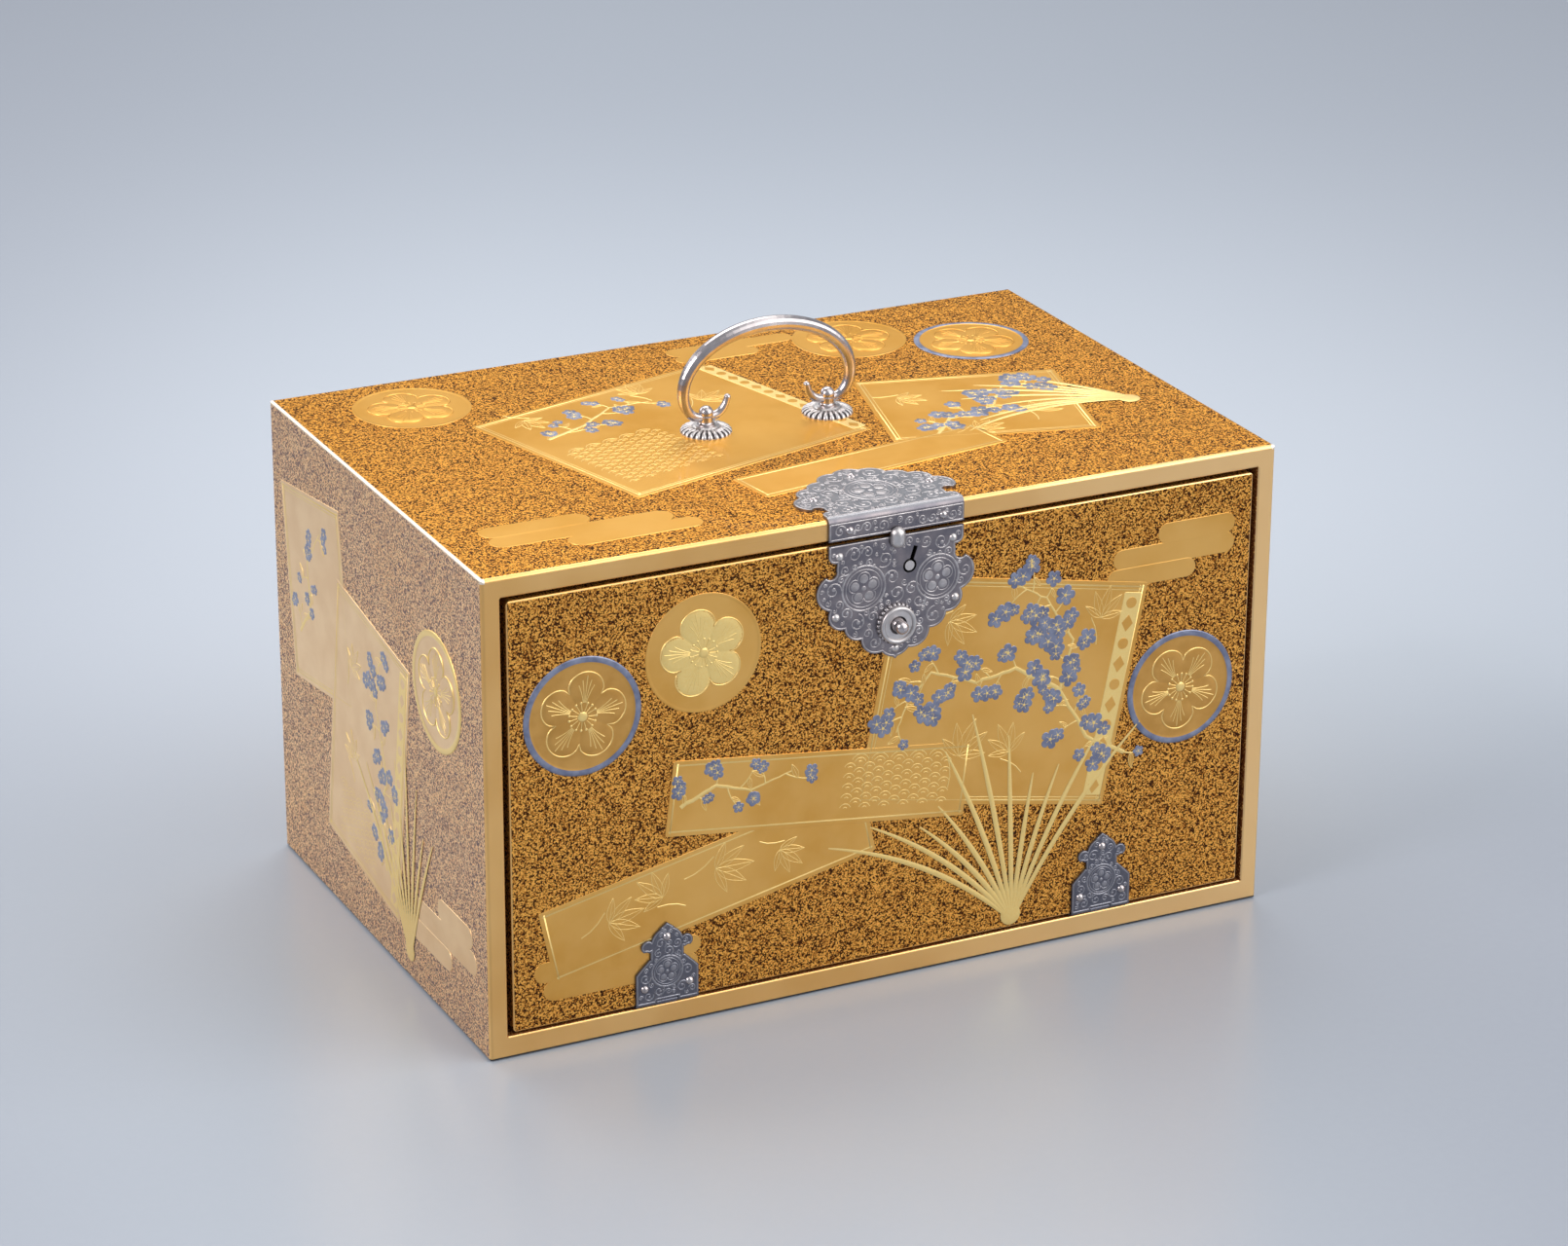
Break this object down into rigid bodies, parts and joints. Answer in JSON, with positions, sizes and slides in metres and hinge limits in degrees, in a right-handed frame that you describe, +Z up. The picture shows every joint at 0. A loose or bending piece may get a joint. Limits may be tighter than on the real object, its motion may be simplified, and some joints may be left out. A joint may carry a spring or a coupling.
{
  "type": "drop-front lacquer chest",
  "caption": "Small gold-lacquered chest with a drop-front door on silver hinges, a lock with push button and hasp plate, inner drawers and a swinging bail handle.",
  "frame": {"origin": "middle of the case's underside, at the level it stands on", "axes": "+X to the right of someone facing the door, -Y out of the front, +Z up"},
  "size_m": [0.272, 0.183, 0.1936],
  "materials": {
    "gold_lacquer": "gold flakes sprinkled in dark lacquer over wood, glossy",
    "inside_lacquer": "fine gold dust in dark lacquer, glossy",
    "dark_silver": "engraved silver, dark with age",
    "bright_silver": "bright worn silver"
  },
  "bodies": {
    "case": {"top_board": "gold_lacquer", "bottom_board": "gold_lacquer", "left_side": "gold_lacquer", "right_side": "gold_lacquer", "back_board": "gold_lacquer", "inner_floor": "inside_lacquer", "lower_shelf": "inside_lacquer", "upper_shelf": "inside_lacquer", "upper_divider": "inside_lacquer", "hasp_plate": "dark_silver", "hasp_rivets": "bright_silver", "strike_plate": "dark_silver", "left_rail_leaf": "dark_silver", "right_rail_leaf": "dark_silver", "rail_leaf_nails": "dark_silver", "left_hinge_pin": "dark_silver", "right_hinge_pin": "dark_silver", "left_bail_post": "bright_silver", "right_bail_post": "bright_silver", "left_bail_rosette": "bright_silver", "right_bail_rosette": "bright_silver", "bail_post_washers": "dark_silver"},
    "bail": {"bail_handle": "bright_silver"},
    "door": {"door_panel": "gold_lacquer", "lock_plate": "dark_silver", "lock_plate_rivets": "bright_silver", "door_stud": "bright_silver", "button_rosette": "bright_silver", "button_collar": "bright_silver", "lock_case": "dark_silver", "lock_cover": "dark_silver", "key_pin": "bright_silver", "button_spring": "bright_silver", "left_door_leaf": "dark_silver", "right_door_leaf": "dark_silver", "door_leaf_rivets": "bright_silver"},
    "bolt": {"lock_bolt": "dark_silver"},
    "button": {"push_button": "bright_silver"},
    "top_left_drawer": {"top_left_drawer_front": "gold_lacquer", "top_left_drawer_sides": "inside_lacquer", "top_left_drawer_back": "inside_lacquer", "top_left_drawer_bottom": "inside_lacquer", "top_left_drawer_knob": "bright_silver"},
    "top_right_drawer": {"top_right_drawer_front": "gold_lacquer", "top_right_drawer_sides": "inside_lacquer", "top_right_drawer_back": "inside_lacquer", "top_right_drawer_bottom": "inside_lacquer", "top_right_drawer_knob": "bright_silver"},
    "middle_drawer": {"middle_drawer_front": "gold_lacquer", "middle_drawer_sides": "inside_lacquer", "middle_drawer_back": "inside_lacquer", "middle_drawer_bottom": "inside_lacquer", "middle_drawer_knobs": "bright_silver"},
    "bottom_drawer": {"bottom_drawer_front": "gold_lacquer", "bottom_drawer_sides": "inside_lacquer", "bottom_drawer_back": "inside_lacquer", "bottom_drawer_bottom": "inside_lacquer", "bottom_drawer_knobs": "bright_silver"}
  },
  "joints": [
    {"name": "bail_swing", "type": "hinge", "parent": "case", "child": "bail", "pos_m": [0, 0, 0.1632], "axis": [1, 0, 0], "range_deg": [-94, 94]},
    {"name": "door_drop", "type": "hinge", "parent": "case", "child": "door", "pos_m": [0, -0.088, 0.00865], "axis": [1, 0, 0], "range_deg": [0, 90]},
    {"name": "bolt_throw", "type": "slide", "parent": "door", "child": "bolt", "axis": [0, 0, 1], "range_m": [0, 0.0035]},
    {"name": "button_press", "type": "slide", "parent": "door", "child": "button", "axis": [0, 1, 0], "range_m": [0, 0.0012], "stiffness_N_per_m": 400, "springref_m": -0.001, "deforming": ["button_spring"]},
    {"name": "top_left_drawer_slide", "type": "slide", "parent": "case", "child": "top_left_drawer", "axis": [0, -1, 0], "range_m": [0, 0.11]},
    {"name": "top_right_drawer_slide", "type": "slide", "parent": "case", "child": "top_right_drawer", "axis": [0, -1, 0], "range_m": [0, 0.11]},
    {"name": "middle_drawer_slide", "type": "slide", "parent": "case", "child": "middle_drawer", "axis": [0, -1, 0], "range_m": [0, 0.0943]},
    {"name": "bottom_drawer_slide", "type": "slide", "parent": "case", "child": "bottom_drawer", "axis": [0, -1, 0], "range_m": [0, 0.0236]}
  ],
  "couplings": [
    {"joint": "top_left_drawer_slide", "follows": "door_drop", "m_per_rad": 0.07},
    {"joint": "top_right_drawer_slide", "follows": "door_drop", "m_per_rad": 0.07},
    {"joint": "middle_drawer_slide", "follows": "door_drop", "m_per_rad": 0.06},
    {"joint": "bottom_drawer_slide", "follows": "door_drop", "m_per_rad": 0.015}
  ]
}
